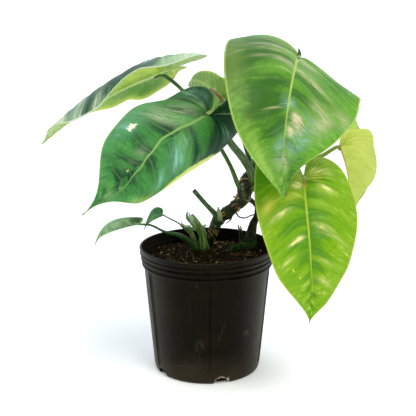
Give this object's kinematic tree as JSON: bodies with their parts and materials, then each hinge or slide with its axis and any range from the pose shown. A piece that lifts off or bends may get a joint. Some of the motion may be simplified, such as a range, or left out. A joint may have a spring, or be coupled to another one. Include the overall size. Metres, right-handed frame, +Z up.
{
  "type": "potted philodendron",
  "caption": "Heart-leaved philodendron with a thick bare stem, long arching leaf stalks and drooping glossy blades, rooted in a ribbed black plastic nursery pot.",
  "frame": {"origin": "the middle of the pot's flat underside", "axes": "+Z up along the pot's axis, -Y towards the side that the picture is taken from, +X to the right in it"},
  "size_m": [0.4042, 0.3856, 0.4087],
  "materials": {
    "pot_plastic": "thin moulded polypropylene, near black, faintly glossy with handling scuffs",
    "soil_mix": "moist potting mix of peat and bark chips",
    "bark": "mottled green and brown stem skin with leaf scars",
    "root": "dark dry root skin, mossy near the soil",
    "stalk": "smooth fleshy stalk, satin",
    "red_stalk": "smooth reddish brown stalk, satin",
    "dry_stub": "dried tan stalk, torn at the top",
    "moss": "short green moss",
    "dark_blade": "glossy dark green blade",
    "mid_blade": "glossy mid green blade",
    "lime_blade": "glossy lime green blade",
    "pale_blade": "pale yellow-green blade, seen from below"
  },
  "bodies": {
    "root": {"pot": "pot_plastic", "soil": "soil_mix", "stem": "bark", "prop_root": "root", "aerial_root_long": "root", "aerial_root_short": "root", "cut_stalk": "stalk", "bud": "stalk", "broken_stalk_wide": "stalk", "broken_stalk_narrow": "stalk", "dried_stub": "dry_stub", "mossy_stub": "moss", "leaf_a_blade": "dark_blade", "leaf_a_stalk": "stalk", "leaf_b_blade": "dark_blade", "leaf_b_stalk": "stalk", "leaf_c_blade": "mid_blade", "leaf_c_stalk": "stalk", "leaf_d_blade": "lime_blade", "leaf_d_stalk": "stalk", "leaf_e_blade": "pale_blade", "leaf_e_stalk": "stalk", "leaf_f_blade": "pale_blade", "leaf_f_stalk": "red_stalk", "young_leaf_a_blade": "dark_blade", "young_leaf_a_stalk": "stalk", "young_leaf_b_blade": "dark_blade", "young_leaf_b_stalk": "stalk"}
  },
  "joints": []
}
